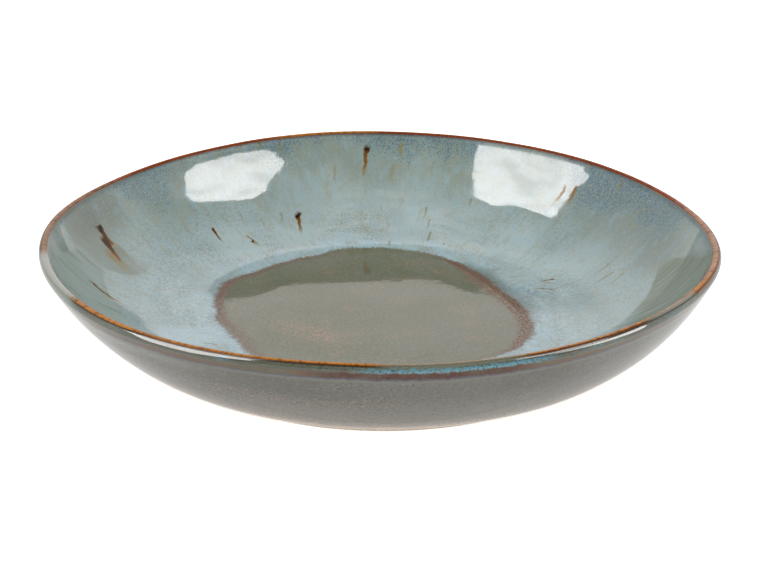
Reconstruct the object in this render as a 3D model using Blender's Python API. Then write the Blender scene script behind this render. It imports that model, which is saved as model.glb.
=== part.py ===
"""Salad bowl: a shallow, hand-formed stoneware bowl and the glaze coats fired on to it.

Metres, +Z up. The origin is on the table, under the middle of the rim.
"""
import math

import bmesh
import bpy
from mathutils import Vector

# Bowl
RIM_RADIUS = 0.150  # widest edge of the glazed lip, before the hand-formed waves
RIM_HEIGHT = 0.051  # mean height of the lip's crest
LIP_THICKNESS = 0.0048  # across the rounded, glazed lip
RIM_SLOPE = 63.0  # degrees from level at which both wall faces reach the lip
FLOOR_RADIUS = 0.080  # level part of the floor inside
FLOOR_THICKNESS = 0.0065  # glazed floor, from the underside coat to the inside coat

# Outer wall: how it leaves the foot, and how far each end pulls the curve, as shares of its chord
FOOT_FLARE = 6.7
OUTER_FOOT_PULL = 0.23
OUTER_RIM_PULL = 0.45

# Inner wall: level where it leaves the floor
INNER_FLOOR_PULL = 0.38
INNER_RIM_PULL = 0.40

# Foot ring, turned from the same clay and left bare where it stands
FOOT_RADIUS = 0.0975
FOOT_HEIGHT = 0.0033  # bare clay below the outside coat
FOOT_WIDTH = 0.0068
FOOT_ROUNDING = 0.0008
RECESS_DEPTH = 0.0045  # hollow under the floor, inside the ring
RECESS_FILLET = 0.0020

# Glaze coats
GLAZE = 0.0007
CLEARANCE = 0.0003  # between a coat and the clay, and between neighbouring coats
RIM_BAND_INSIDE = 0.0018  # amber coat, from the crest down the inside
RIM_BAND_OUTSIDE = 0.0014  # amber coat, from the crest down the outside
OUTER_LIP_BAND = 0.0086  # overlap coat below the amber one, down the outside
WELL_RADIUS = 0.0711  # pool of glaze in the well
WELL_CENTRE = (-0.0057, 0.0141)  # from the middle of the foot ring
WELL_EDGE = 0.0012  # width of the pool's rounded edge

# Hand-formed unevenness: number of waves round the bowl, height of a wave, direction of one crest in degrees
OUTLINE_WAVES = ((2, 0.0007, -39.0), (3, 0.0004, -55.0), (4, 0.0012, -7.0), (5, 0.0004, 10.0))
HEIGHT_WAVES = ((2, 0.0012, -79.0), (5, 0.0005, -29.0))
WELL_WAVES = ((2, 0.0047, -52.0), (3, 0.0032, -34.0), (4, 0.0020, -34.0))
FOOT_OFFSET = (0.0019, -0.0004)  # middle of the foot ring, from the middle of the rim

# Fineness of the meshes
SEGMENTS = 60
WALL_STEPS = 9
LIP_STEPS = 8
EDGE_STEPS = 3

COAT = GLAZE + CLEARANCE
FLOOR_TOP = RECESS_DEPTH + FLOOR_THICKNESS


# Lines in the turning plane: x is the distance from the axis, y the height


def direction(degrees):
    return Vector((math.cos(math.radians(degrees)), math.sin(math.radians(degrees))))


def arc(centre, radius, start, end, steps):
    """Points of an arc from one direction to another, ends included."""
    turn = (end - start) / steps
    return [centre + radius * direction(start + turn * i) for i in range(steps + 1)]


def wall_curve(start, start_slope, start_pull, end, end_slope, end_pull):
    """Points of a thrown wall's curve between two ends with given slopes."""
    chord = (end - start).length
    near = start + direction(start_slope) * chord * start_pull
    far = end - direction(end_slope) * chord * end_pull
    points = []
    for i in range(WALL_STEPS + 1):
        t = i / WALL_STEPS
        s = 1 - t
        points.append(start * s**3 + near * 3 * s * s * t + far * 3 * s * t * t + end * t**3)
    return points


def finished_line():
    """Glazed surface from the middle of the floor, over the lip and down to the foot; also the crest's index."""
    lip_radius = LIP_THICKNESS / 2
    lip_centre = Vector((RIM_RADIUS - lip_radius, RIM_HEIGHT - lip_radius))
    lip = arc(lip_centre, lip_radius, 90 + RIM_SLOPE, RIM_SLOPE - 90, LIP_STEPS)
    floor_edge = Vector((FLOOR_RADIUS, FLOOR_TOP))
    foot_edge = Vector((FOOT_RADIUS, FOOT_HEIGHT))
    inside = wall_curve(floor_edge, 0, INNER_FLOOR_PULL, lip[0], RIM_SLOPE, INNER_RIM_PULL)
    outside = wall_curve(foot_edge, FOOT_FLARE, OUTER_FOOT_PULL, lip[-1], RIM_SLOPE, OUTER_RIM_PULL)
    outside.reverse()
    floor = [Vector((0, FLOOR_TOP)), Vector((FLOOR_RADIUS / 2, FLOOR_TOP))]
    line = floor + inside + lip[1:] + outside[1:]
    crest = max(range(len(line)), key=lambda i: line[i].y)
    return line, crest


def inset(line, depth):
    """The line moved into the clay, with every stretch kept parallel."""
    normals = []
    for a, b in zip(line, line[1:]):
        along = (b - a).normalized()
        normals.append(Vector((along.y, -along.x)))
    moved = [line[0] + normals[0] * depth]
    for point, before, after in zip(line[1:], normals, normals[1:]):
        moved.append(point + (before + after) * depth / (1 + before.dot(after)))
    moved.append(line[-1] + normals[-1] * depth)
    return moved


def line_length(line):
    return sum((b - a).length for a, b in zip(line, line[1:]))


def stretch(line, start, end):
    """The part of a line between two distances along it."""
    points = []
    travelled = 0.0
    for a, b in zip(line, line[1:]):
        step = (b - a).length
        for distance in (start, end):
            if travelled < distance < travelled + step:
                points.append(a.lerp(b, (distance - travelled) / step))
        travelled += step
        if start < travelled < end:
            points.append(b)
    if start <= 0:
        points.insert(0, line[0])
    return points


def height_inside(line, radius):
    """Height of the glazed floor or inner wall at a distance from the axis."""
    for a, b in zip(line, line[1:]):
        if a.x <= radius <= b.x:
            return a.lerp(b, (radius - a.x) / (b.x - a.x)).y
    return line[-1].y


# Solids


def waves(table, angle):
    return sum(size * math.cos(count * (angle - math.radians(crest))) for count, size, crest in table)


def hand_form(bm):
    """Move a turned solid as the potter's hands did: most at the rim, not at all at the floor."""
    for vert in bm.verts:
        rise = (vert.co.z - FLOOR_TOP) / (RIM_HEIGHT - FLOOR_TOP)
        rise = min(max(rise, 0.0), 1.0)
        share = rise * rise * (3 - 2 * rise)
        angle = math.atan2(vert.co.y, vert.co.x)
        out = share * waves(OUTLINE_WAVES, angle)
        vert.co.z += share * waves(HEIGHT_WAVES, angle)
        vert.co.x += out * math.cos(angle) + (1 - share) * FOOT_OFFSET[0]
        vert.co.y += out * math.sin(angle) + (1 - share) * FOOT_OFFSET[1]


def turn(outline, closed):
    """A solid of revolution; an outline that isn't closed starts and ends on the axis."""
    bm = bmesh.new()
    verts = [bm.verts.new((point.x, 0, point.y)) for point in outline]
    edges = [bm.edges.new(pair) for pair in zip(verts, verts[1:])]
    if closed:
        edges.append(bm.edges.new((verts[-1], verts[0])))
    bmesh.ops.spin(
        bm,
        geom=verts + edges,
        cent=(0, 0, 0),
        axis=(0, 0, 1),
        angle=math.tau,
        steps=SEGMENTS,
        use_merge=True,
    )
    bmesh.ops.remove_doubles(bm, verts=bm.verts, dist=1e-7)
    bmesh.ops.recalc_face_normals(bm, faces=bm.faces)
    return bm


def add_piece(name, bm, colour, roughness):
    """Turn a finished bmesh into a named, smooth-shaded object with its own material."""
    mesh = bpy.data.meshes.new(name)
    bm.to_mesh(mesh)
    bm.free()
    mesh.shade_smooth()
    mesh.set_sharp_from_angle(angle=math.radians(40))
    material = bpy.data.materials.new(name)
    material.use_nodes = True
    shader = material.node_tree.nodes["Principled BSDF"]
    shader.inputs["Base Color"].default_value = (*colour, 1)
    shader.inputs["Roughness"].default_value = roughness
    shader.inputs["Metallic"].default_value = 0
    mesh.materials.append(material)
    bpy.context.collection.objects.link(bpy.data.objects.new(name, mesh))


def coat_outline(line):
    """Cross-section of a coat of glaze over a stretch of the finished line."""
    under = inset(line, GLAZE)
    under.reverse()
    return line + under


def stoneware_body(line):
    """Clay core with its floor, wall, lip and the foot ring it stands on."""
    clay = inset(line, COAT)
    foot_out = clay[-1].x
    foot_in = foot_out - FOOT_WIDTH
    ceiling = RECESS_DEPTH + COAT
    outer_edge = Vector((foot_out - FOOT_ROUNDING, FOOT_ROUNDING))
    inner_edge = Vector((foot_in + FOOT_ROUNDING, FOOT_ROUNDING))
    fillet = Vector((foot_in - RECESS_FILLET, ceiling - RECESS_FILLET))
    outline = clay
    outline += arc(outer_edge, FOOT_ROUNDING, 0, -90, EDGE_STEPS)
    outline += arc(inner_edge, FOOT_ROUNDING, -90, -180, EDGE_STEPS)
    outline += arc(fillet, RECESS_FILLET, 0, 90, EDGE_STEPS)
    outline.append(Vector((0, ceiling)))
    bm = turn(outline, closed=False)
    hand_form(bm)
    add_piece("stoneware_body", bm, (0.55, 0.44, 0.32), 0.85)
    return foot_in - RECESS_FILLET


def wall_coats(line, crest):
    """The inside, amber lip, overlap and outside coats, one after the other along the finished line."""
    at_crest = line_length(line[: crest + 1])
    at_foot = line_length(line)
    amber_top = at_crest - RIM_BAND_INSIDE
    amber_end = at_crest + RIM_BAND_OUTSIDE
    overlap_end = amber_end + OUTER_LIP_BAND

    bm = turn(coat_outline(stretch(line, 0, amber_top - CLEARANCE)), closed=False)
    hand_form(bm)
    add_piece("interior_glaze", bm, (0.26, 0.30, 0.30), 0.12)

    bm = turn(coat_outline(stretch(line, amber_top, amber_end)), closed=True)
    hand_form(bm)
    add_piece("rim_glaze", bm, (0.30, 0.13, 0.04), 0.15)

    bm = turn(coat_outline(stretch(line, amber_end + CLEARANCE, overlap_end)), closed=True)
    hand_form(bm)
    add_piece("outer_lip_glaze", bm, (0.14, 0.17, 0.24), 0.15)

    bm = turn(coat_outline(stretch(line, overlap_end + CLEARANCE, at_foot - CLEARANCE)), closed=True)
    hand_form(bm)
    add_piece("exterior_glaze", bm, (0.24, 0.27, 0.25), 0.18)


def well_glaze_pool(line):
    """Glaze that ran down and pooled in the well, with an uneven outline a little off the middle."""
    outline = [
        Vector((0, GLAZE)),
        Vector((WELL_RADIUS / 2, GLAZE)),
        Vector((WELL_RADIUS - WELL_EDGE, GLAZE)),
        Vector((WELL_RADIUS, GLAZE / 2)),
        Vector((WELL_RADIUS - WELL_EDGE / 2, 0)),
        Vector((WELL_RADIUS / 2, 0)),
        Vector((0, 0)),
    ]
    bm = turn(outline, closed=False)
    for vert in bm.verts:
        reach = vert.co.xy.length / WELL_RADIUS
        angle = math.atan2(vert.co.y, vert.co.x)
        radius = reach * (WELL_RADIUS + reach * waves(WELL_WAVES, angle))
        vert.co.x = WELL_CENTRE[0] + radius * math.cos(angle)
        vert.co.y = WELL_CENTRE[1] + radius * math.sin(angle)
        vert.co.z += CLEARANCE + height_inside(line, vert.co.xy.length)
    hand_form(bm)
    add_piece("well_glaze_pool", bm, (0.17, 0.18, 0.14), 0.10)


def underside_glaze(radius):
    """Coat on the hollow inside the foot ring."""
    outline = [
        Vector((0, RECESS_DEPTH + GLAZE)),
        Vector((radius, RECESS_DEPTH + GLAZE)),
        Vector((radius, RECESS_DEPTH)),
        Vector((0, RECESS_DEPTH)),
    ]
    bm = turn(outline, closed=False)
    hand_form(bm)
    add_piece("underside_glaze", bm, (0.24, 0.27, 0.25), 0.20)


for old in list(bpy.data.objects):
    bpy.data.objects.remove(old, do_unlink=True)

surface, crest_index = finished_line()
recess_radius = stoneware_body(surface)
wall_coats(surface, crest_index)
well_glaze_pool(surface)
underside_glaze(recess_radius)
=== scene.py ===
"""Looks of a shallow stoneware salad bowl with a reactive glaze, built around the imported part."""

import math

import bmesh
import bpy
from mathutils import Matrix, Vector, noise


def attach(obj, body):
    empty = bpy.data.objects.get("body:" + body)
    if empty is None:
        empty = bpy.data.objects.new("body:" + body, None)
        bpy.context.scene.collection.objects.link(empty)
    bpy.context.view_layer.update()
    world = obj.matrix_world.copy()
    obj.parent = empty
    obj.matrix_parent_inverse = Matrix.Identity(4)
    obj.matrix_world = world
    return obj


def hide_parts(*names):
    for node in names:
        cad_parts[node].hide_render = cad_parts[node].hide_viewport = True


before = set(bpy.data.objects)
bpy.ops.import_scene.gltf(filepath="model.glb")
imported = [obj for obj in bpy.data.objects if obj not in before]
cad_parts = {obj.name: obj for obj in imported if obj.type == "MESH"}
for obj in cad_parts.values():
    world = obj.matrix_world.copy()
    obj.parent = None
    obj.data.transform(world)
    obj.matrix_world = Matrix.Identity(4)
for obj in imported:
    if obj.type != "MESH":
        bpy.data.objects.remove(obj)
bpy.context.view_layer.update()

# Stoneware body
# The fired clay of the whole bowl: floor, wall, lip core and a low foot ring, thrown and turned in one piece.
# Only the foot ring stays bare, so its sandy beige clay shows in a thin strip under the outside coat.
RIM_RADIUS = 0.150
RIM_HEIGHT = 0.051
LIP_THICKNESS = 0.0048
RIM_SLOPE = 63.0
FLOOR_RADIUS = 0.080
FLOOR_TOP = 0.011
FOOT_FLARE = 6.7
FOOT_RADIUS = 0.0975
FOOT_HEIGHT = 0.0033
FOOT_WIDTH = 0.0068
FOOT_ROUNDING = 0.0008
RECESS_DEPTH = 0.0045
RECESS_FILLET = 0.0020
COAT = 0.0010  # clay lies this far under the finished glaze
INSIDE_PULLS = (0.38, 0.40)  # of the wall's curve at its lower and upper end, as shares of its chord
OUTSIDE_PULLS = (0.23, 0.45)
TURNS = 288  # steps round the bowl
FLOOR_STEPS = 24
INSIDE_STEPS = 44
LIP_STEPS = 36
OUTSIDE_STEPS = 36
ROUNDING_STEPS = 6
SHARP_ANGLE = 40  # edges sharper than this are not shaded smooth
MM = 1000  # millimetres in a metre; the materials count in millimetres

# Waves that the potter's hands left in the rim: how many, how large, where one crest points
OUTLINE_WAVES = ((2, 0.0007, -39.0), (3, 0.0004, -55.0), (4, 0.0012, -7.0), (5, 0.0004, 10.0))
HEIGHT_WAVES = ((2, 0.0012, -79.0), (5, 0.0005, -29.0))
FOOT_OFFSET = Vector((0.0019, -0.0004, 0))
DENT_SIZES = ((0.045, 0.00022), (0.020, 0.00010))  # width and depth of the hand-made unevenness
DENT_SHIFT = Vector((7, 3, 5))  # so that it differs outwards and upwards


def direction(degrees):
    return Vector((math.cos(math.radians(degrees)), math.sin(math.radians(degrees)), 0))


def arc(centre, radius, start, end, steps):
    turn = (end - start) / steps
    return [centre + radius * direction(start + turn * i) for i in range(steps + 1)]


def wall_curve(start, start_slope, end, end_slope, pulls, steps):
    chord = (end - start).length
    near = start + direction(start_slope) * chord * pulls[0]
    far = end - direction(end_slope) * chord * pulls[1]
    points = []
    for i in range(steps + 1):
        t = i / steps
        s = 1 - t
        points.append(start * s**3 + near * 3 * s * s * t + far * 3 * s * t * t + end * t**3)
    return points


def finished_line():
    """Glazed surface from the middle of the floor over the lip to the foot: distance from the axis, height,
    and the station, which is the way from the crest of the lip in metres, down the inside as plus."""
    lip_radius = LIP_THICKNESS / 2
    lip_centre = Vector((RIM_RADIUS - lip_radius, RIM_HEIGHT - lip_radius, 0))
    lip = arc(lip_centre, lip_radius, 90 + RIM_SLOPE, RIM_SLOPE - 90, LIP_STEPS)
    floor_edge = Vector((FLOOR_RADIUS, FLOOR_TOP, 0))
    foot_edge = Vector((FOOT_RADIUS, FOOT_HEIGHT, 0))
    inside = wall_curve(floor_edge, 0, lip[0], RIM_SLOPE, INSIDE_PULLS, INSIDE_STEPS)
    outside = wall_curve(foot_edge, FOOT_FLARE, lip[-1], RIM_SLOPE, OUTSIDE_PULLS, OUTSIDE_STEPS)
    outside.reverse()
    floor = [Vector((FLOOR_RADIUS * i / FLOOR_STEPS, FLOOR_TOP, 0)) for i in range(FLOOR_STEPS)]
    line = floor + inside + lip[1:] + outside[1:]
    crest = max(range(len(line)), key=lambda i: line[i].y)
    travelled = [0.0]
    for a, b in zip(line, line[1:]):
        travelled.append(travelled[-1] + (b - a).length)
    for point, way in zip(line, travelled):
        point.z = travelled[crest] - way
    return line


def inset(line, depth):
    """The line moved into the clay."""
    normals = []
    for a, b in zip(line, line[1:]):
        heading = (b - a).xy.normalized()
        normals.append(Vector((heading.y, -heading.x, 0)))
    moved = [line[0] + normals[0] * depth]
    for point, before, after in zip(line[1:], normals, normals[1:]):
        moved.append(point + (before + after) * depth / (1 + before.dot(after)))
    moved.append(line[-1] + normals[-1] * depth)
    return moved


def waves(table, angle):
    return sum(size * math.cos(count * (angle - math.radians(crest))) for count, size, crest in table)


def hand_form(bm):
    """Move a turned solid as the potter's hands did: waves that grow towards the rim, and shallow dents."""
    for vert in bm.verts:
        rise = (vert.co.z - FLOOR_TOP) / (RIM_HEIGHT - FLOOR_TOP)
        rise = min(max(rise, 0.0), 1.0)
        share = rise * rise * (3 - 2 * rise)
        angle = math.atan2(vert.co.y, vert.co.x)
        outward = Vector((math.cos(angle), math.sin(angle), 0))
        out = share * waves(OUTLINE_WAVES, angle)
        up = share * waves(HEIGHT_WAVES, angle)
        above_foot = min(max(vert.co.z - FOOT_HEIGHT, 0.0) / FLOOR_TOP, 1.0)
        for width, depth in DENT_SIZES:
            spot = vert.co / width
            out += above_foot * depth * noise.noise(spot)
            up += above_foot * depth * noise.noise(spot + DENT_SHIFT)
        vert.co += outward * out + Vector((0, 0, up)) + FOOT_OFFSET * (1 - share)


def turn_solid(outline):
    """Spin a cross-section round the axis and keep each point's station, in millimetres, as an attribute."""
    bm = bmesh.new()
    station = bm.verts.layers.float.new("station")
    verts = []
    for point in outline:
        vert = bm.verts.new((point.x, 0, point.y))
        vert[station] = point.z * MM
        verts.append(vert)
    edges = [bm.edges.new(pair) for pair in zip(verts, verts[1:])]
    if outline[0].x > 0:
        edges.append(bm.edges.new((verts[-1], verts[0])))
    bmesh.ops.spin(
        bm, geom=verts + edges, cent=(0, 0, 0), axis=(0, 0, 1), angle=math.tau, steps=TURNS, use_merge=True
    )
    bmesh.ops.remove_doubles(bm, verts=bm.verts, dist=1e-7)
    bmesh.ops.recalc_face_normals(bm, faces=bm.faces)
    return bm


def add_object(name, data):
    made = bpy.data.objects.new(name, data)
    bpy.context.scene.collection.objects.link(made)
    return made


def add_mesh(name, bm, material):
    mesh = bpy.data.meshes.new(name)
    bm.to_mesh(mesh)
    bm.free()
    mesh.materials.append(material)
    return add_object(name, mesh)


def finish_piece(name, bm, material, node):
    """Form a turned solid by hand, shade it smooth and let it stand for its CAD solid."""
    hand_form(bm)
    piece = add_mesh(name, bm, material)
    piece.data.shade_smooth()
    piece.data.set_sharp_from_angle(angle=math.radians(SHARP_ANGLE))
    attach(piece, "root")
    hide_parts(node)


def tint(red, green, blue):
    """A colour given as it looks on screen, 0 to 255, as the shader wants it."""
    parts = [c / 255 for c in (red, green, blue)]
    linear = [c / 12.92 if c <= 0.04045 else ((c + 0.055) / 1.055) ** 2.4 for c in parts]
    return (*linear, 1)


def fill(node, values):
    """Give a node's sockets their values, or link them to the outputs of other nodes."""
    for socket, value in values.items():
        if isinstance(value, bpy.types.NodeSocket):
            node.id_data.links.new(value, node.inputs[socket])
        else:
            node.inputs[socket].default_value = value


def add_node(tree, kind, inputs, **options):
    """Add a node, set its options and fill its sockets."""
    made = tree.nodes.new(kind)
    for option, value in options.items():
        setattr(made, option, value)
    fill(made, inputs)
    return made


def tree_of(*values):
    """The node tree that the sockets among the values belong to."""
    return next(value.id_data for value in values if isinstance(value, bpy.types.NodeSocket))


def work(operation, first, second=0.0, third=0.0):
    """A number worked out from up to three others."""
    inputs = {0: first, 1: second, 2: third}
    return add_node(tree_of(*inputs.values()), "ShaderNodeMath", inputs, operation=operation).outputs[0]


def times(*values):
    """All the values multiplied together."""
    product = values[0]
    for value in values[1:]:
        product = work("MULTIPLY", product, value)
    return product


def on_vector(operation, first, second=(0, 0, 0)):
    """A vector worked out from one or two others."""
    inputs = {0: first, 1: second}
    return add_node(tree_of(first, second), "ShaderNodeVectorMath", inputs, operation=operation).outputs[0]


def ramp(value, low, high):
    """0 at low and 1 at high, with soft ends; low may be the larger one."""
    inputs = {"Value": value, "From Min": low, "From Max": high}
    made = add_node(tree_of(value), "ShaderNodeMapRange", inputs, interpolation_type="SMOOTHSTEP")
    return made.outputs["Result"]


def paint(under, over, share):
    """Lay one colour over another."""
    inputs = {0: share, 6: under, 7: over}
    return add_node(tree_of(share), "ShaderNodeMix", inputs, data_type="RGBA").outputs[2]


def stain(under, levels, *shares):
    """Lay a colour, as levels of 255, over another one, by the product of its shares."""
    return paint(under, tint(*levels), times(*shares))


def cloud(place, size, detail=2.0, roughness=0.5, pull=None, shift=None):
    """Soft blotches about as wide as size, in millimetres; a pull below 1 draws them out along an axis."""
    if pull:
        place = on_vector("MULTIPLY", place, pull)
    if shift:
        place = on_vector("ADD", place, shift)
    inputs = {"Vector": place, "Scale": 1 / size, "Detail": detail, "Roughness": roughness}
    return add_node(tree_of(place), "ShaderNodeTexNoise", inputs).outputs["Fac"]


def new_group(name, inputs, outputs):
    """An empty node group with named sockets; returns its tree, its input node and its output node."""
    tree = bpy.data.node_groups.new(name, "ShaderNodeTree")
    for side, sockets in (("INPUT", inputs), ("OUTPUT", outputs)):
        for socket, kind in sockets.items():
            tree.interface.new_socket(socket, in_out=side, socket_type="NodeSocket" + kind)
    return tree, tree.nodes.new("NodeGroupInput"), tree.nodes.new("NodeGroupOutput")


def use_group(tree, group, inputs):
    """Place a group in a material; returns its outputs."""
    return add_node(tree, "ShaderNodeGroup", inputs, node_tree=group).outputs


def new_material(name):
    """A material with its shader: returns the material, its node tree and the Principled shader."""
    material = bpy.data.materials.new(name)
    material.use_nodes = True
    return material, material.node_tree, material.node_tree.nodes["Principled BSDF"]


# Where a point lies on the bowl: its place in millimetres, the way from the lip's crest, the direction from
# the axis, and a place on the unrolled wall, round it in x and y and down it in z
WALL_RADIUS = 130  # of the wall as it is unrolled, in millimetres
surface_place, _, ends = new_group(
    "surface_place", {}, {"Place": "Vector", "Station": "Float", "Towards": "Vector", "Wall": "Vector"}
)
own_place = surface_place.nodes.new("ShaderNodeTexCoord").outputs["Object"]
place = on_vector("MULTIPLY", own_place, (MM, MM, MM))
station = add_node(surface_place, "ShaderNodeAttribute", {}, attribute_name="station").outputs["Fac"]
level = on_vector("MULTIPLY", place, (1, 1, 0))
towards = on_vector("NORMALIZE", level)
down = add_node(surface_place, "ShaderNodeCombineXYZ", {"Z": station}).outputs[0]
around = on_vector("MULTIPLY", towards, (WALL_RADIUS, WALL_RADIUS, 0))
wall = on_vector("ADD", around, down)
fill(ends, {"Place": place, "Station": station, "Towards": towards, "Wall": wall})

clay, tree, shader = new_material("bare_stoneware")
place = use_group(tree, surface_place, {})["Place"]
sand = cloud(place, 0.5, detail=3)
grit = cloud(place, 0.9, shift=(40, 0, 0))
colour = stain(tint(250, 236, 216), (226, 206, 182), ramp(sand, 0.42, 0.62))
colour = stain(colour, (138, 108, 84), ramp(grit, 0.68, 0.76))
rough = ramp(sand, -0.6, 0.9)
bump = add_node(tree, "ShaderNodeBump", {"Height": sand, "Strength": 0.35, "Distance": 0.0002})
fill(shader, {"Base Color": colour, "Roughness": rough, "Normal": bump.outputs[0]})

surface = finished_line()
core = inset(surface, COAT)
foot_out = core[-1].x
foot_in = foot_out - FOOT_WIDTH
ceiling = RECESS_DEPTH + COAT
recess_radius = foot_in - RECESS_FILLET
core += arc(Vector((foot_out - FOOT_ROUNDING, FOOT_ROUNDING, 0)), FOOT_ROUNDING, 0, -90, ROUNDING_STEPS)
core += arc(Vector((foot_in + FOOT_ROUNDING, FOOT_ROUNDING, 0)), FOOT_ROUNDING, -90, -180, ROUNDING_STEPS)
core += arc(Vector((recess_radius, ceiling - RECESS_FILLET, 0)), RECESS_FILLET, 0, 90, ROUNDING_STEPS)
core.append(Vector((0, ceiling, 0)))
bm = turn_solid(core)
finish_piece("clay_body", bm, clay, "stoneware_body")

# Inside glaze
# A reactive glaze poured over the inside: deep blue speckle below the lip, celadon grey-green on the wall,
# and a pale, frosted blue where it ran thick above the well. Iron in it ran down in amber and brown streaks.
GLAZE = 0.0007
RIM_BAND_INSIDE = 0.0018
RIM_BAND_OUTSIDE = 0.0014
OUTER_LIP_BAND = 0.0086

WELL_RADIUS = 71.1  # pool in the well, in millimetres as the materials use them
WELL_CENTRE = (-3.8, 13.7, 0)
EDGE_RADIUS = 75  # of the pool's edge as it is unrolled
WELL_WAVES = ((2, 4.7, -52.0), (3, 3.2, -34.0), (4, 2.0, -34.0))
# The dark border outside the pool is partly glaze and partly a painted reflection of the dark crescent in the
# well
SMOKE_AND_SHADE = (92, 96, 84)  # colours at the pool's edge, as levels of 255
RUST = (112, 66, 48)
GRAIN = (134, 126, 110)


def stretch(line, start, end):
    """The part of the finished line between two stations, the first one being the larger."""
    points = [a.lerp(b, (a.z - start) / (a.z - b.z)) for a, b in zip(line, line[1:]) if a.z > start >= b.z]
    points += [point for point in line if start > point.z > end]
    points += [a.lerp(b, (a.z - end) / (a.z - b.z)) for a, b in zip(line, line[1:]) if a.z > end >= b.z]
    if start >= line[0].z:
        points.insert(0, line[0])
    return points


def coat(line):
    """Cross-section of a coat of glaze over a stretch of the finished line."""
    under = inset(line, GLAZE)
    under.reverse()
    return line + under


def scaled(value, factor, plus):
    """A value times a factor, plus something."""
    return work("MULTIPLY_ADD", value, factor, plus)


def axes(vector):
    """The X, Y and Z of a vector."""
    return add_node(tree_of(vector), "ShaderNodeSeparateXYZ", {0: vector}).outputs


def measure(operation, first, second=(0, 0, 0)):
    """A number worked out from one vector or two."""
    inputs = {0: first, 1: second}
    made = add_node(tree_of(first, second), "ShaderNodeVectorMath", inputs, operation=operation)
    return made.outputs["Value"]


def along(place, way):
    """How far a place lies in a direction."""
    return measure("DOT_PRODUCT", place, way)


def turned_to(towards, degrees, far, near):
    """1 where a direction is near to some degrees and 0 where it is far, both given as cosines."""
    return ramp(along(towards, direction(degrees)), far, near)


def frayed(way, blotches, amount):
    """A distance made uneven by blotches."""
    return scaled(work("SUBTRACT", blotches, 0.5), amount, way)


def patch(wall, towards, station, reach, full=0.3):
    """Round patch at a direction and station of the unrolled wall, full up to a share of its reach."""
    middle = direction(towards) * WALL_RADIUS + Vector((0, 0, station))
    off = measure("DISTANCE", wall, middle)
    return ramp(off, reach, reach * full)


# Edge of the pool: the way from it in millimetres, outside as plus, a place along it, and the masks of what
# lies there: the pool itself, a speckled rusty fringe, wide on the right, and a dark smoky border outside it,
# partly glaze and partly painted reflection of the dark crescent in the well
well_edge, start, ends = new_group(
    "well_edge",
    {"Place": "Vector"},
    {"Distance": "Float", "Contour": "Vector", "Pool": "Float", "Rust": "Float", "SmokeAndShade": "Float"},
)
place = start.outputs["Place"]
from_centre = on_vector("SUBTRACT", place, WELL_CENTRE)
from_centre = on_vector("MULTIPLY", from_centre, (1, 1, 0))
bearing = on_vector("NORMALIZE", from_centre)
reach = measure("LENGTH", from_centre)
sides = axes(from_centre)
angle = work("ARCTAN2", sides["Y"], sides["X"])
edge = work("SUBTRACT", reach, WELL_RADIUS)
for count, size, crest in WELL_WAVES:
    lag = work("MULTIPLY", work("SUBTRACT", angle, math.radians(crest)), count)
    edge = scaled(work("COSINE", lag), -size, edge)
edge = frayed(edge, cloud(place, 8), 4.0)
left = turned_to(bearing, 180, 0.60, 0.95)
edge = scaled(left, -1.6, edge)
for towards, far, near, shift in ((250, 0.80, 0.985, -8.5), (129, 0.87, 0.985, 6.0)):
    edge = scaled(turned_to(bearing, towards, far, near), shift, edge)
outward = add_node(well_edge, "ShaderNodeCombineXYZ", {"Z": edge}).outputs[0]
around = on_vector("MULTIPLY", bearing, (EDGE_RADIUS, EDGE_RADIUS, 0))
unrolled = on_vector("ADD", around, outward)
hairs = cloud(unrolled, 0.9, pull=(1, 1, 0.2))
fuzz = cloud(place, 1.1, detail=1.0)
fringe = frayed(frayed(edge, hairs, 4.5), fuzz, 2.5)
right = turned_to(bearing, 8, 0.55, 0.95)
back = turned_to(bearing, 88, 0.86, 0.98)
front = turned_to(bearing, 272, 0.62, 0.92)
near = turned_to(bearing, 220, 0.90, 0.98)
inner = scaled(right, -5.5, scaled(left, -1.5, -4.0))
inner = scaled(near, -3.0, inner)
rust = times(
    ramp(fringe, inner, work("ADD", inner, 4.5)),
    ramp(fringe, 2.2, 0.0),
    scaled(ramp(fuzz, 0.44, 0.54), 0.8, 0.2),
    scaled(back, -0.8, 1.0),
    scaled(front, -0.6, 1.0),
    scaled(near, -0.35, 1.0),
)
# Dark border outside the edge, partly glaze and partly the painted reflection of the well's dark crescent,
# carried on past the edge and widest towards 19°
smoky_and_shaded = turned_to(bearing, 19, 0.78, 0.97)
reach = scaled(smoky_and_shaded, 9.0, 3.0)
smoke_and_shade = times(ramp(fringe, reach, -0.5), scaled(smoky_and_shaded, 0.4, 0.5))
pool = ramp(fringe, 1.6, -1.2)
fill(ends, {"Distance": edge, "Contour": unrolled, "Pool": pool, "Rust": rust, "SmokeAndShade": smoke_and_shade})

# One run: a streak down the wall, which is thinner than the dark blob at its head where it has one. Its
# marks, the streak in x and the head in y, are added to those of the runs before it. Its profile says, along
# the run from 0 to 1, how strong the streak and the head are and how thin it is
RUN_PROFILE = (
    (0.12, 0.9, 1.0, 0.0),
    (0.20, 1.0, 1.0, 0.1),
    (0.36, 1.0, 0.2, 0.6),
    (0.6, 0.8, 0.0, 0.6),
)
glaze_run, start, ends = new_group(
    "glaze_run",
    {
        "Round": "Vector", "Station": "Float", "Start": "Float", "Length": "Float", "Width": "Float",
        "Middle": "Vector", "Lean": "Vector", "Strength": "Vector", "Marks": "Vector",
    },
    {"Marks": "Vector"},
)
given = start.outputs
turn = axes(given["Marks"])["Z"]  # 0: runs take their turn
fall = work("SUBTRACT", work("ADD", given["Station"], turn), given["Start"])
share = work("DIVIDE", fall, given["Length"])
course = {0: given["Lean"], 1: fall, 2: given["Middle"]}
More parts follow.
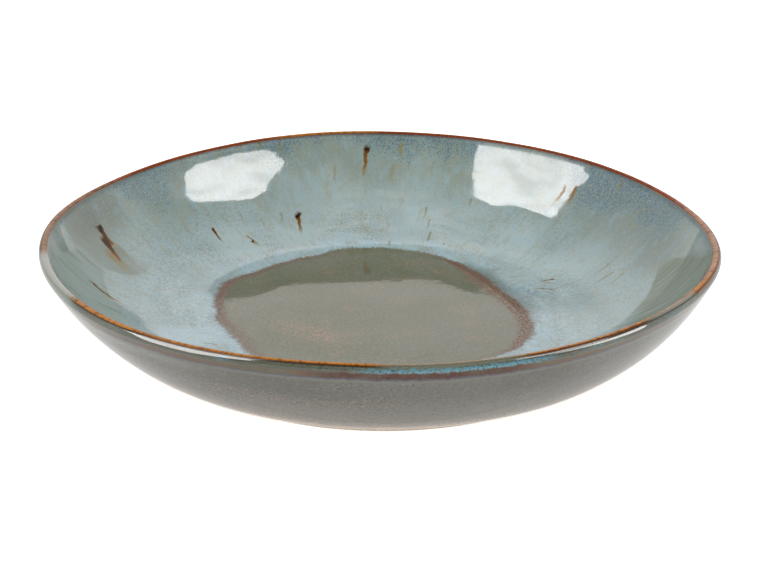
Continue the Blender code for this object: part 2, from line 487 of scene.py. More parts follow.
middle = add_node(glaze_run, "ShaderNodeVectorMath", course, operation="MULTIPLY_ADD")
off = measure("DISTANCE", given["Round"], middle.outputs[0])
off = work("DIVIDE", off, given["Width"])
profile = add_node(glaze_run, "ShaderNodeValToRGB", {"Fac": share})
stops = profile.color_ramp.elements
stops[0].position = 0.0
stops[0].color = (0, 0, 0, 1)
stops[1].position = 1.0
stops[1].color = (0, 0, 0.6, 1)
for position, streak, head, thin in RUN_PROFILE:
    stops.new(position).color = (streak, head, thin, 1)
thin = add_node(glaze_run, "ShaderNodeSeparateColor", {0: profile.outputs["Color"]}).outputs["Blue"]
thin = times(thin, axes(given["Strength"])["Y"])
off = scaled(thin, off, off)
marks = on_vector("MULTIPLY", profile.outputs["Color"], ramp(off, 1.15, 0.45))
marks = on_vector("MULTIPLY", marks, given["Strength"])
fill(ends, {"Marks": on_vector("MAXIMUM", marks, given["Marks"])})

# Fine unevenness of a fired glaze: its skin is smooth, with a faint orange-peel ripple
glaze_skin, start, ends = new_group(
    "glaze_skin", {"Place": "Vector"}, {"Height": "Float", "Dullness": "Float"}
)
peel = cloud(start.outputs["Place"], 4.0, detail=1.0)
fine = cloud(start.outputs["Place"], 0.8, detail=1.0, shift=(9, 21, 4))
height = scaled(fine, 0.06, peel)
levels = {"Value": fine, "From Min": 0.3, "From Max": 0.7, "To Min": 0.03, "To Max": 0.07}
dullness = add_node(glaze_skin, "ShaderNodeMapRange", levels).outputs["Result"]
fill(ends, {"Height": height, "Dullness": dullness})

PEEL_STRENGTH = 0.25
PEEL_HEIGHT = 0.00008
GLASSY = 1.58  # index of refraction of a rich glaze
THIN_GLAZE = 1.5  # and of a lean one


def glaze_finish(tree, shader, place, colour, matt=None, index=GLASSY):
    """Join a glaze's colour and skin to its shader; matt says how rough it is where it crystallised."""
    skin = use_group(tree, glaze_skin, {"Place": place})
    ripple = {"Height": skin["Height"], "Strength": PEEL_STRENGTH, "Distance": PEEL_HEIGHT}
    bump = add_node(tree, "ShaderNodeBump", ripple)
    rough = skin["Dullness"]
    if matt:
        rough = work("MAXIMUM", rough, matt)
    fill(shader, {"Base Color": colour, "Roughness": rough, "Normal": bump.outputs[0], "IOR": index})


# Patches of blue speckle under the lip: direction on the bowl, how far down they reach, half width
BLUE_PATCHES = (
    (142, 17, 15), (112, 11, 16), (87, 10, 18), (74, 11, 11),
    (40, 24, 19), (22, 18, 22), (201, 11, 15), (238, 15, 18),
    (266, 11, 13), (297, 14, 20), (331, 12, 13),
)

# Olive patches where the glaze lies thin, with fine iron pepper: direction, station, reach, strength
OLIVE_PATCHES = (
    (31, 24, 34, 0.30), (15, 25, 24, 0.45), (99, 19, 20, 0.12),
    (161, 10, 13, 0.85), (156, 9, 20, 0.6), (166, 9, 14, 0.5),
    (165, 38, 10, 0.35), (134, 8, 13, 0.35), (123, 6, 12, 0.35),
    (117, 38, 22, 0.25), (163, 31, 9, 0.75), (177, 13, 7, 0.5),
    (0, 18, 13, 0.45), (350, 26, 20, 0.25), (355, 42, 8, 0.4),
    (147, 12, 18, 0.15), (232, 24, 30, 0.3), (315, 20, 34, 0.3),
)

# Iron runs: direction, first station, length, half width, sideways lean, strength of streak and of dark head
IRON_RUNS = (
    (160.5, 15.0, 15.0, 2.6, 0.15, 1.5, 1.1), (161.5, 20.0, 20.0, 2.7, 0.40, 1.4, 0.7),
    (162.5, 19.1, 10.5, 0.8, 0.23, 0.9, 0.0), (160.5, 25.0, 13.5, 1.9, 0.0, 0.55, 0.0),
    (164.0, 25.0, 21.0, 4.6, 0.2, 0.72, 0.0), (161.5, 34.2, 19.2, 0.8, 0.0, 0.45, 0.0),
    (180.5, 26.8, 23.0, 1.4, 0.27, 1.15, 0.3), (133.0, 39.4, 12.8, 1.2, 0.09, 1.3, 0.5),
    (126.0, 48.8, 13.6, 0.7, -0.25, 0.9, 0.0), (126.0, 53.8, 4.6, 1.5, -0.36, 1.0, 1.0),
    (135.5, 33.1, 8.6, 0.9, 0.56, 0.45, 0.0), (124.0, 35.0, 7.7, 0.8, 0.15, 0.4, 0.0),
    (119.5, 40.0, 10.7, 0.8, 0.11, 0.4, 0.0), (114.0, 40.4, 8.4, 0.9, 0.42, 0.55, 0.0),
    (114.5, 2.0, 5.0, 0.9, 0.0, 0.7, 0.5), (110.5, 3.4, 7.2, 0.9, 0.0, 0.65, 0.2),
    (116.5, 26.4, 3.4, 1.0, 0.41, 0.6, 0.4), (92.5, 6.4, 21.0, 1.7, 0.12, 1.05, 1.0),
    (85.5, 5.0, 11.5, 1.0, 0.11, 0.65, 0.0), (87.0, 15.8, 15.0, 1.0, 0.16, 0.42, 0.0),
    (99.5, 17.9, 10.2, 0.8, 0.12, 0.5, 0.0), (110.0, 41.4, 17.0, 2.4, 0.22, 1.1, 1.1),
    (78.5, 38.9, 11.5, 0.95, 0.10, 0.6, 0.0), (77.0, 47.3, 11.2, 0.7, 0.10, 0.55, 0.0),
    (76.0, 56.9, 12.6, 0.95, 0.0, 0.68, 0.0), (87.0, 67.5, 6.0, 1.3, 0.0, 0.6, 0.0),
    (71.0, 65.6, 4.6, 1.0, -0.35, 0.55, 0.0), (89.5, 38.5, 9.6, 0.9, 0.0, 0.35, 0.0),
    (69.0, 33.5, 6.0, 0.9, -0.21, 0.55, 0.0), (78.5, 14.1, 9.0, 0.9, 0.13, 0.3, 0.0),
    (48.0, 14.6, 17.2, 1.3, 0.21, 0.9, 0.2), (45.5, 12.2, 17.2, 1.3, 0.07, 0.9, 0.0),
    (35.0, 3.4, 9.4, 0.9, 0.13, 0.8, 0.2), (44.0, 1.4, 3.6, 1.2, 0.0, 0.6, 1.0),
    (49.0, 2.0, 3.0, 1.2, 0.0, 0.6, 1.0), (27.0, 10.7, 6.6, 0.9, 0.0, 0.5, 0.0),
    (54.5, 36.2, 13.2, 0.8, -0.09, 0.4, 0.0), (41.0, 40.8, 9.8, 0.9, 0.0, 0.4, 0.0),
    (23.5, 42.0, 15.0, 1.1, -0.23, 0.55, 0.0), (19.5, 47.0, 15.0, 1.1, -0.24, 0.65, 0.0),
    (17.0, 42.0, 15.0, 0.9, -0.45, 0.55, 0.0), (28.5, 71.0, 7.2, 1.5, 0.36, 1.1, 0.6),
    (22.0, 77.5, 8.6, 1.5, 1.18, 0.9, 0.0), (4.5, 0.0, 4.6, 0.6, 0.64, 0.6, 0.8),
    (352.5, 1.7, 17.0, 0.5, 0.55, 0.6, 0.2), (12.0, 5.8, 6.4, 0.8, 0.18, 0.45, 0.0),
    (201.0, 78.0, 9.0, 1.6, 1.24, 0.55, 0.0), (212.0, 22.0, 19.0, 1.4, 0.2, 0.9, 0.6),
    (236.0, 44.0, 13.0, 1.1, -0.1, 0.8, 0.2), (259.0, 10.0, 15.0, 1.2, 0.1, 0.7, 0.5),
    (283.0, 35.0, 17.0, 1.4, -0.2, 0.9, 0.8), (309.0, 19.0, 14.0, 1.1, 0.15, 0.6, 0.2),
    (331.0, 47.0, 12.0, 1.1, 0.0, 0.7, 0.0),
)

inside_glaze, tree, shader = new_material("inside_reactive_glaze")
spot = use_group(tree, surface_place, {})
place = spot["Place"]
station = spot["Station"]
wall = spot["Wall"]
well = use_group(tree, well_edge, {"Place": place})
broad = cloud(place, 42)
patchy = cloud(place, 22, shift=(300, 90, 40))
streaky = cloud(wall, 8, pull=(1, 1, 0.22))
dots = on_vector("MULTIPLY", wall, (1, 1, 0.6))
speck = cloud(dots, 0.52, detail=1.0)
speck_two = cloud(dots, 0.6, detail=1.0, shift=(55, 10, 5))
speck_three = cloud(dots, 0.6, detail=1.0, shift=(5, 60, 25))

# Celadon wall, bluer further down, with a fine grain, olive and peppered where it is thin
colour = stain(tint(140, 153, 145), (150, 165, 160), ramp(broad, 0.38, 0.62))
colour = stain(colour, (134, 141, 127), ramp(streaky, 0.52, 0.75), 0.5)
colour = stain(colour, (163, 181, 181), ramp(station, 18, 44), 0.8)
olive = 0.0
for towards, first, reach, strength in OLIVE_PATCHES:
    olive = work("MAXIMUM", times(patch(wall, towards, first, reach), strength), olive)
colour = stain(colour, (104, 109, 93), olive)
colour = stain(colour, (80, 70, 62), olive, ramp(speck_three, 0.58, 0.70), 0.8)
colour = stain(colour, (120, 132, 126), ramp(speck, 0.52, 0.68), 0.4)
colour = stain(colour, (170, 182, 177), ramp(speck_two, 0.54, 0.72), 0.22)

# Milky patches near the lip, a painted reflection of the white room over the rim: direction, station, reach
for towards, first, reach in ((182, 4, 9), (173, 4, 7), (1, 5, 10), (341, 6, 8)):
    colour = stain(colour, (174, 177, 172), patch(wall, towards, first, reach), 0.8)

# Speckle of blue, violet and tan under the lip, which thins out into single dots further down
around = on_vector("MULTIPLY", spot["Towards"], (WALL_RADIUS, WALL_RADIUS, 0))
band_edge = frayed(station, streaky, 14.0)
depth = frayed(4.0, cloud(place, 9), 10.0)
for towards, reach, width in BLUE_PATCHES:
    middle = direction(towards) * WALL_RADIUS
    off = measure("DISTANCE", around, middle)
    depth = scaled(ramp(off, width * 1.4, width * 0.3), reach, depth)
blue = ramp(work("SUBTRACT", band_edge, depth), 7, -10)
colour = stain(colour, (128, 150, 147), blue, 0.8)
dense = scaled(blue, 0.22, speck)
colour = stain(colour, (82, 110, 126), ramp(dense, 0.64, 0.74), ramp(blue, 0, 0.3), 0.75)
colour = stain(colour, (152, 152, 128), blue, ramp(speck_two, 0.52, 0.66), 0.55)
deep = times(blue, turned_to(spot["Towards"], 34, 0.93, 0.99))
colour = stain(colour, (70, 108, 124), deep, ramp(speck_two, 0.58, 0.42), 0.65)
violet = times(ramp(band_edge, 7, 0), ramp(speck_three, 0.46, 0.60))
colour = stain(colour, (84, 78, 90), violet, 0.6)

# A faint pale level band at the back of the wall: a painted reflection from overhead
around_back = turned_to(spot["Towards"], 90, 0.965, 0.99)
ring = work("ABSOLUTE", work("SUBTRACT", frayed(station, patchy, 6.0), 34.0))
ring = times(ramp(ring, 3.0, 0.5), around_back, ramp(streaky, 0.35, 0.55))
colour = stain(colour, (176, 188, 182), ring, 0.5)

# Pale frosted glaze above the well, sky blue next to it
pale = ramp(frayed(well["Distance"], patchy, 36.0), 50, 13)
colour = stain(colour, (160, 178, 180), pale, 0.95)
colour = stain(colour, (184, 196, 192), pale, turned_to(spot["Towards"], 90, 0.6, 0.95), 0.9)
swirl = cloud(well["Contour"], 6, detail=3, pull=(0.35, 0.35, 1))
grain = cloud(place, 1.3, detail=1.0)
grain_two = cloud(place, 1.2, detail=1.0, shift=(31, 5, 17))
side = ramp(work("ABSOLUTE", along(place, (1, 0, 0))), 30, 75)
ring = ramp(frayed(well["Distance"], broad, 18.0), 19, 3)
colour = stain(colour, (156, 193, 208), ring, ramp(swirl, 0.68, 0.46), ramp(speck_three, 0.66, 0.40), 0.9)
grey = times(pale, ramp(swirl, 0.46, 0.62), ramp(speck, 0.44, 0.60))
colour = stain(colour, (132, 144, 144), grey, 0.8)
frost = times(pale, ramp(swirl, 0.60, 0.42), ramp(speck_two, 0.46, 0.62))
colour = stain(colour, (206, 216, 217), frost, 0.45)
mist = times(pale, ramp(speck_three, 0.50, 0.64))
colour = stain(colour, (148, 162, 164), mist, 0.5)
colour = stain(colour, (128, 142, 146), side, ramp(grain, 0.52, 0.62), 0.4)
colour = stain(colour, (188, 204, 208), side, pale, ramp(grain_two, 0.52, 0.62), 0.6)

# Paler and bluer lower on the right and left, duller next to the well: direction, station, reach, strength.
# The pale patch at 38°, next to the well, is a painted reflection of the white room
PALE_AND_REFLECTED_TONES = (
    (32, 52, 24, 0.5), (52, 59, 24, 0.9), (38, 80, 26, 0.6), (82, 57, 23, 0.8),
    (66, 59, 12, 0.5), (113, 57, 19, 0.9), (130, 55, 20, 0.9),
)
DULL_TONES = (
    (8, 76, 24, 0.55), (52, 71, 8, 0.4), (152, 70, 22, 0.55), (158, 76, 13, 0.7),
    (141, 69, 11, 0.5), (86, 48, 10, 0.4), (114, 45, 9, 0.4), (108, 38, 22, 0.45),
    (165, 37, 12, 0.8),
)
for tone, patches in (((176, 193, 194), PALE_AND_REFLECTED_TONES), ((148, 165, 165), DULL_TONES)):
    for towards, first, reach, share in patches:
        colour = stain(colour, tone, patch(wall, towards, first, reach), share)
colour = stain(colour, (182, 208, 218), patch(wall, 196, 74, 24), 0.6)

# Faint olive and blue flow marks all down the wall
flow = cloud(wall, 4, detail=3, roughness=0.7, pull=(1, 1, 0.5))
calm = scaled(blue, -0.6, 1.0)
colour = stain(colour, (148, 150, 126), ramp(flow, 0.50, 0.66), calm, 0.34)
colour = stain(colour, (146, 180, 196), ramp(flow, 0.50, 0.34), calm, 0.28)

# A painted reflection edge on the left: a round olive pane with a clear edge towards the front
reflected_pane = turned_to(spot["Towards"], 177, 0.935, 0.985)
reflected_pane = times(reflected_pane, patch(wall, 160.5, 20, 27, 0.93))
colour = stain(colour, (116, 122, 110), reflected_pane, 0.5)

# A painted reflection on each side: a sage leaf, darker and dull, where the glaze mirrors the bowl's own far
# wall, with fine threads down it: its direction, the way to its back, its upper edge as a station and a slope
# along the wall, the same of its lower edge, its tip
threads = cloud(wall, 3.0, pull=(1, 1, 0.1))
reflected_leaf = 0.0
for towards, back, upper, upper_slope, lower, lower_slope, tip, sage in (
    (354, 84, 3.0, 0.62, 53.0, 0.62, 37.0, tint(143, 151, 138)),
    (186, 96, 6.0, 0.32, 42.5, 0.32, 35.0, tint(157, 170, 164)),
):
    across = times(along(spot["Towards"], direction(back)), WALL_RADIUS)
    top = scaled(across, -upper_slope, frayed(station, patchy, 5.0))
    bottom = scaled(across, lower_slope, frayed(station, patchy, 5.0))
    near = turned_to(spot["Towards"], towards, 0.82, 0.88)
    shape = times(ramp(top, upper - 1, upper + 2), ramp(bottom, lower + 1, lower - 2), near)
    shape = times(shape, ramp(across, tip + 2, tip - 6))
    colour = paint(colour, sage, times(shape, ramp(station, 66, 40), 0.85))
    reflected_leaf = work("MAXIMUM", reflected_leaf, shape)
# Painted reflection threads, pale and dark, down the leaves
colour = stain(colour, (170, 178, 172), reflected_leaf, ramp(threads, 0.54, 0.68), 0.4)
colour = stain(colour, (94, 102, 88), reflected_leaf, ramp(threads, 0.46, 0.32), 0.3)
# Painted reflection of the white room just below the left leaf
colour = stain(colour, (184, 197, 199), patch(wall, 196, 54, 17, 0.0), 0.55)
# A paler band just below the lip on the left: painted reflection of the white room over the rim
left = turned_to(spot["Towards"], 192, 0.95, 0.985)
colour = stain(colour, (166, 170, 165), left, ramp(station, 8.0, 4.5), 0.85)

# Iron that ran down in the firing, olive where it is thin, amber and nearly black where it is thick
waver = add_node(tree, "ShaderNodeTexNoise", {"Vector": place, "Scale": 0.25, "Detail": 2.0}).outputs["Color"]
waver = on_vector("MULTIPLY", on_vector("SUBTRACT", waver, (0.5, 0.5, 0.5)), (2.4, 2.4, 6))
wavering = on_vector("ADD", around, on_vector("MULTIPLY", waver, (1, 1, 0)))
drift = work("ADD", station, axes(waver)["Z"])
marks = (0, 0, 0)
for towards, first, length, width, lean, streak, head in IRON_RUNS:
    out = direction(towards)
    run = {
        "Round": wavering,
        "Station": drift,
        "Start": first,
        "Length": length,
        "Width": width,
        "Marks": marks,
        "Middle": out * WALL_RADIUS,
        "Lean": Vector((-out.y, out.x, 0)) * lean,
        "Strength": (streak, head, 0),
    }
    marks = use_group(tree, glaze_run, run)["Marks"]
marks = axes(marks)
streaks = marks["X"]
heads = marks["Y"]
colour = stain(colour, (138, 128, 84), ramp(streaks, 0.0, 0.85), 0.85)
amber = ramp(streaks, 0.6, 1.0)
colour = stain(colour, (132, 80, 28), amber, 0.9)
colour = stain(colour, (84, 40, 18), ramp(streaks, 1.05, 1.4), 0.8)
colour = stain(colour, (40, 22, 12), heads, 0.95)

# Edge of the well, with its dark border that is partly painted reflection, and the dark line where the amber
# of the lip begins
colour = stain(colour, SMOKE_AND_SHADE, well["SmokeAndShade"], 0.85)
colour = stain(colour, (108, 110, 88), well["Pool"])
colour = stain(colour, GRAIN, ramp(grain, 0.50, 0.62), well["Pool"], 0.5)
colour = stain(colour, RUST, well["Rust"], 0.95)
lip_line = times(ramp(frayed(station, speck, 2.2), 3.4, 1.8), work("SUBTRACT", 1.0, left))
flank = ramp(work("ABSOLUTE", along(place, (1, 0, 0))), 112, 136)
colour = stain(colour, (84, 56, 46), lip_line, scaled(flank, -0.6, 0.85))
colour = stain(colour, (140, 122, 110), lip_line, flank, 0.6)
matt = work("MAXIMUM", times(well["Rust"], 0.4), times(ramp(station, 4.6, 3.2), 0.35))
shine = scaled(ramp(station, 5.0, 3.4), -0.4, 0.5)
# The leaves are painted reflections, so they get almost no shine of their own
shine = times(shine, scaled(amber, -0.7, 1.0), scaled(reflected_leaf, -0.93, 1.0))
low = times(turned_to(spot["Towards"], 36, 0.78, 0.92), ramp(station, 58, 68))
shine = times(shine, scaled(low, -0.85, 1.0))
fill(shader, {"Specular IOR Level": shine})
glaze_finish(tree, shader, place, colour, matt)

bm = turn_solid(coat(stretch(surface, surface[0].z, RIM_BAND_INSIDE)))
finish_piece("inside_coat", bm, inside_glaze, "interior_glaze")

# Well pool
# Where the inside glaze ran together it lies as a thin olive-grey pool, a little off the middle of the floor.
# Its uneven edge has a rusty, fuzzy fringe, and fine pink-orange flecks float in it.
POOL_DEPTH = 0.00035  # of the pool over the coat below it
POOL_EDGE = 0.025  # width of its shallow margin
POOL_SINK = 0.00002  # its thin edge runs out this far inside the coat below it
POOL_BOTTOM = -0.0003
POOL_STEPS = 48

well_glaze, tree, shader = new_material("well_pool_glaze")
place = use_group(tree, surface_place, {})["Place"]
well = use_group(tree, well_edge, {"Place": place})
broad = cloud(place, 30)
patchy = cloud(place, 15, shift=(12, 88, 31))
speck = cloud(place, 1.3, detail=3, roughness=0.6)
fleck = cloud(place, 0.75, shift=(70, 3, 11))
pinhole = cloud(place, 1.0, shift=(7, 30, 90))
colour = stain(tint(166, 184, 186), SMOKE_AND_SHADE, well["SmokeAndShade"], 0.85)
colour = stain(colour, (108, 110, 86), well["Pool"])
colour = stain(colour, (115, 114, 95), ramp(broad, 0.40, 0.64), well["Pool"])
colour = stain(colour, GRAIN, ramp(speck, 0.50, 0.62), well["Pool"], 0.6)
colour = stain(colour, (84, 84, 66), ramp(fleck, 0.44, 0.32), well["Pool"], 0.6)
cluster = on_vector("SUBTRACT", place, (-30, -19, 11))
long_way = along(cluster, Vector((0.79, -0.62, 0)) / 30)
cross_way = along(cluster, Vector((0.62, 0.79, 0)) / 11)
cluster = add_node(tree, "ShaderNodeCombineXYZ", {"X": long_way, "Y": cross_way}).outputs[0]
cluster = measure("LENGTH", cluster)
near = work("MAXIMUM", times(ramp(patchy, 0.52, 0.72), 0.5), ramp(cluster, 1.15, 0.2))
pink = times(near, ramp(fleck, 0.52, 0.62))
colour = stain(colour, (202, 138, 100), pink, 0.65)
colour = stain(colour, (62, 54, 42), ramp(pinhole, 0.74, 0.80), 0.8)
colour = stain(colour, RUST, well["Rust"], 0.95)
glaze_finish(tree, shader, place, colour, times(well["Rust"], 0.4))


def floor_height(radius):
    """Height of the finished floor or inner wall at a distance from the axis."""
    a, b = next(pair for pair in zip(surface, surface[1:]) if pair[0].x <= radius <= pair[1].x)
    return a.lerp(b, (radius - a.x) / (b.x - a.x)).y


pool_radius = WELL_RADIUS / MM
pool_centre = Vector(WELL_CENTRE) / MM - FOOT_OFFSET
pool = []
for i in range(POOL_STEPS + 1):
    radius = pool_radius * i / POOL_STEPS
    swell = min((pool_radius - radius) / POOL_EDGE, 1.0)
    pool.append(Vector((radius, POOL_DEPTH * swell * swell * (3 - 2 * swell) - POOL_SINK, 0)))
pool += [Vector((pool_radius, POOL_BOTTOM, 0)), Vector((0, POOL_BOTTOM, 0))]
bm = turn_solid(pool)
for vert in bm.verts:
    share = vert.co.xy.length / pool_radius
    angle = math.atan2(vert.co.y, vert.co.x)
    radius = share * (pool_radius + share * waves(WELL_WAVES, angle) / MM)
    vert.co.x = pool_centre.x + radius * math.cos(angle)
    vert.co.y = pool_centre.y + radius * math.sin(angle)
    vert.co.z += floor_height(vert.co.xy.length)
finish_piece("well_pool", bm, well_glaze, "well_glaze_pool")

# Amber lip
# Over the sharp turn of the lip the glaze breaks thin and iron in the clay stains it amber to dark brown.
# It is one narrow ring, brightest in front and darkest at the back.

# Where grey glaze lies over the amber: direction, near and far as cosines, up to which station, its colour
LIP_COVERED = (
    (199, 0.991, 0.975, 2.6, tint(154, 160, 149)),
    (281, 0.990, 0.975, 0.3, tint(108, 111, 95)),
    (324, 0.996, 0.988, 0.3, tint(108, 111, 95)),
)
AMBER_GLOSS = 0.12

amber_glaze, tree, shader = new_material("amber_lip_glaze")
spot = use_group(tree, surface_place, {})
place = spot["Place"]
station = spot["Station"]
broad = cloud(place, 34)
patchy = cloud(place, 4, detail=3)
ribs = cloud(spot["Wall"], 1.3, detail=1.0, pull=(1, 1, 0.2))
front = ramp(along(place, (0, -1, 0)), -40, 70)
golden = turned_to(spot["Towards"], 101, 0.975, 0.993)
colour = stain(tint(142, 60, 4), (180, 112, 30), work("MAXIMUM", front, times(golden, 0.95)))
colour = stain(colour, (184, 118, 46), ramp(broad, 0.54, 0.66), front, 0.6)
left = ramp(along(place, (-1, 0, 0)), 112, 146)
colour = stain(colour, (156, 120, 92), left, 0.9)
right = ramp(along(place, (1, 0, 0)), 134, 147)
colour = stain(colour, (186, 144, 116), right, 0.85)
colour = stain(colour, (196, 128, 48), ramp(ribs, 0.50, 0.62), front, 0.4)
colour = stain(colour, (92, 44, 12), ramp(ribs, 0.50, 0.38), 0.5)
colour = stain(colour, (80, 38, 14), ramp(patchy, 0.52, 0.66), 0.5)
thin = turned_to(spot["Towards"], 305, 0.92, 0.98)
wide = turned_to(spot["Towards"], 218, 0.98, 0.995)
outer = scaled(thin, -0.35, scaled(wide, 0.3, station))
rims = work("MAXIMUM", times(ramp(station, 0.9, 1.9), 0.5), ramp(outer, -0.6, -1.1))
colour = stain(colour, (62, 26, 6), rims, 0.9)
covered = 0.0
for towards, near, far, inner, pale in LIP_COVERED:
    grey = turned_to(spot["Towards"], towards, far, near)
    grey = times(grey, ramp(frayed(station, patchy, 2.0), inner + 0.7, inner - 0.7))
    colour = paint(colour, pale, times(grey, 0.9))
    covered = work("MAXIMUM", covered, grey)
shine = work("SUBTRACT", 1.0, times(covered, 0.8))
glaze_finish(tree, shader, place, colour, times(scaled(patchy, 0.2, 0.2), shine))
fill(shader, {"Specular IOR Level": AMBER_GLOSS, "Coat Weight": times(covered, 0.8)})
bm = turn_solid(coat(stretch(surface, RIM_BAND_INSIDE, -RIM_BAND_OUTSIDE)))
finish_piece("amber_lip", bm, amber_glaze, "rim_glaze")

# Outer lip coat
# Under the amber line a second dip of glaze overlaps the first: a rolled green-blue bead with blue speckle,
# then a mauve-brown band, strongest in front, that ends in a broken lavender drip line.
overlap_end = -RIM_BAND_OUTSIDE - OUTER_LIP_BAND

overlap_glaze, tree, shader = new_material("overlap_lip_glaze")
spot = use_group(tree, surface_place, {})
place = spot["Place"]
station = spot["Station"]
wall = spot["Wall"]
speck = cloud(wall, 0.9, detail=2, roughness=0.6)
speck_two = cloud(wall, 1.0, roughness=0.6, shift=(33, 8, 14))
broad = cloud(place, 45)
patchy = cloud(place, 14)
streaky = cloud(wall, 3, pull=(1, 1, 0.3))
front = turned_to(spot["Towards"], -84, 0.94, 0.985)
clear = turned_to(spot["Towards"], 281, 0.975, 0.99)
colour = stain(tint(88, 91, 76), (106, 110, 94), ramp(broad, 0.4, 0.6))
colour = stain(colour, (112, 114, 98), clear, ramp(station, -2.4, -1.6))
colour = stain(colour, (54, 56, 48), ramp(speck_two, 0.54, 0.66), 0.6)
blue_front = turned_to(spot["Towards"], -78, 0.955, 0.985)
blue = work("MAXIMUM", blue_front, times(ramp(cloud(place, 26), 0.48, 0.62), 0.5))
fade = frayed(station, streaky, 2.0)
shadow = times(ramp(fade, -2.9, -3.6), ramp(fade, -4.8, -4.0))
colour = stain(colour, (66, 66, 54), shadow, 0.6)
blue = times(blue, ramp(speck, 0.38, 0.54), ramp(fade, -1.9, -2.8), ramp(fade, -4.6, -4.0))
colour = stain(colour, (92, 146, 162), blue, 0.95)
narrow = scaled(turned_to(spot["Towards"], 272, 0.95, 0.90), 1.1, fade)
mauve = ramp(narrow, -3.8, -4.8)
tan = times(mauve, scaled(ramp(patchy, 0.36, 0.56), 0.6, 0.4))
colour = stain(colour, (116, 92, 70), tan, 0.85)
deep = times(mauve, front, scaled(ramp(patchy, 0.36, 0.56), 0.35, 0.65))
colour = stain(colour, (78, 43, 30), deep, 0.95)
colour = stain(colour, (112, 98, 90), mauve, ramp(speck, 0.54, 0.66), 0.4)
lavender = times(ramp(fade, -7.0, -7.8), scaled(ramp(speck, 0.42, 0.58), 0.6, 0.4))
colour = stain(colour, (82, 85, 98), lavender)
colour = stain(colour, (106, 106, 97), ramp(fade, -8.2, -9.0))
pale = turned_to(spot["Towards"], 199, 0.970, 0.988)
colour = stain(colour, (136, 143, 130), pale, ramp(station, -4.6, -3.2), 0.85)
clear = work("MAXIMUM", clear, pale)
dark = times(ramp(frayed(station, speck_two, 1.0), -2.2, -1.6), work("SUBTRACT", 1.0, clear))
colour = stain(colour, (46, 38, 32), dark, 0.85)
amber = turned_to(spot["Towards"], 343, 0.975, 0.99)
colour = stain(colour, (140, 86, 46), amber, ramp(frayed(station, speck, 1.0), -2.5, -1.8), 0.9)
glaze_finish(tree, shader, place, colour)
shine = scaled(ramp(station, -1.5, -2.0), 0.45, 0.1)
dull = times(mauve, ramp(fade, -8.4, -7.6))
fill(shader, {"Specular IOR Level": scaled(dull, -0.3, shine)})
bm = turn_solid(coat(stretch(surface, -RIM_BAND_OUTSIDE, overlap_end)))
finish_piece("outer_lip_coat", bm, overlap_glaze, "outer_lip_glaze")

# Outside glaze
# A grey-green coat on the outside wall that stops just above the foot, with faint pinkish speckle in level
# streaks where two dips of glaze meet, and a paler, thinner edge near the foot. It is painted lighter further
# down, as painted light from the white table, and carries a faint painted reflection line across the front.
FOOT_MARGIN = 0.0003  # the coat stops this far from the foot ring

outside_glaze, tree, shader = new_material("outside_grey_glaze")
spot = use_group(tree, surface_place, {})
place = spot["Place"]
station = spot["Station"]
speck = cloud(place, 1.1, detail=2, roughness=0.6)
speck_two = cloud(place, 1.2, roughness=0.6, shift=(33, 8, 14))
broad = cloud(place, 40)
levels = cloud(place, 30, detail=3, pull=(1, 1, 6))
colour = stain(tint(97, 96, 87), (104, 103, 94), ramp(broad, 0.38, 0.62))
level = frayed(station, levels, 16.0)
level = times(ramp(level, -19, -25), ramp(level, -34, -27))
level = times(level, turned_to(spot["Towards"], 242, 0.80, 0.93))
level = work("MAXIMUM", level, times(ramp(levels, 0.54, 0.68), 0.45))
colour = stain(colour, (152, 124, 110), level, ramp(speck, 0.48, 0.62), 0.9)
colour = stain(colour, (78, 68, 66), level, ramp(speck_two, 0.50, 0.64), 0.5)
# Lighter further down the wall: painted light thrown up from the white table
colour = stain(colour, (125, 124, 114), ramp(station, -18, -34), 0.8)
colour = stain(colour, (146, 142, 132), ramp(station, -38, -54), 0.85)
turned = turned_to(spot["Towards"], 272, 0.97, 0.74)
colour = stain(colour, (84, 83, 76), turned, ramp(station, -18, -32), 0.92)
left = turned_to(spot["Towards"], 214, 0.82, 0.97)
colour = stain(colour, (132, 132, 124), left, ramp(station, -17, -11), 0.9)
# A faint thin dark olive line curving across the front: a painted reflection line
reflection_line_path = scaled(along(spot["Towards"], direction(270)), -125.0, 82.0)
off = work("ABSOLUTE", work("SUBTRACT", frayed(station, levels, 5.0), reflection_line_path))
colour = stain(colour, (84, 84, 66), ramp(off, 1.6, 0.4), 0.3)
colour = stain(colour, (70, 67, 60), ramp(speck_two, 0.52, 0.66), 0.4)
colour = stain(colour, (140, 137, 128), ramp(speck, 0.52, 0.66), 0.3)
bare = scaled(turned_to(spot["Towards"], 240, 0.93, 0.985), -3.0, frayed(station, speck, 3.0))
colour = stain(colour, (224, 200, 174), ramp(bare, -49.5, -54.5), 0.85)
glaze_finish(tree, shader, place, colour, index=THIN_GLAZE)
bm = turn_solid(coat(stretch(surface, overlap_end, surface[-1].z + FOOT_MARGIN)))
finish_piece("outside_coat", bm, outside_glaze, "exterior_glaze")

# Underside glaze
# The same grey coat, brushed thinly inside the foot ring.
underside_glaze, tree, shader = new_material("underside_grey_glaze")
place = use_group(tree, surface_place, {})["Place"]
speck = cloud(place, 0.8, detail=2, roughness=0.6)
broad = cloud(place, 30)
colour = stain(tint(114, 113, 105), (126, 126, 117), ramp(broad, 0.38, 0.62))
colour = stain(colour, (150, 136, 124), ramp(speck, 0.52, 0.66), 0.5)
glaze_finish(tree, shader, place, colour)
disc = [
    Vector((0, RECESS_DEPTH + GLAZE, 0)),
    Vector((recess_radius, RECESS_DEPTH + GLAZE, 0)),
    Vector((recess_radius, RECESS_DEPTH, 0)),
    Vector((0, RECESS_DEPTH, 0)),
]
bm = turn_solid(disc)
finish_piece("underside_coat", bm, underside_glaze, "underside_glaze")

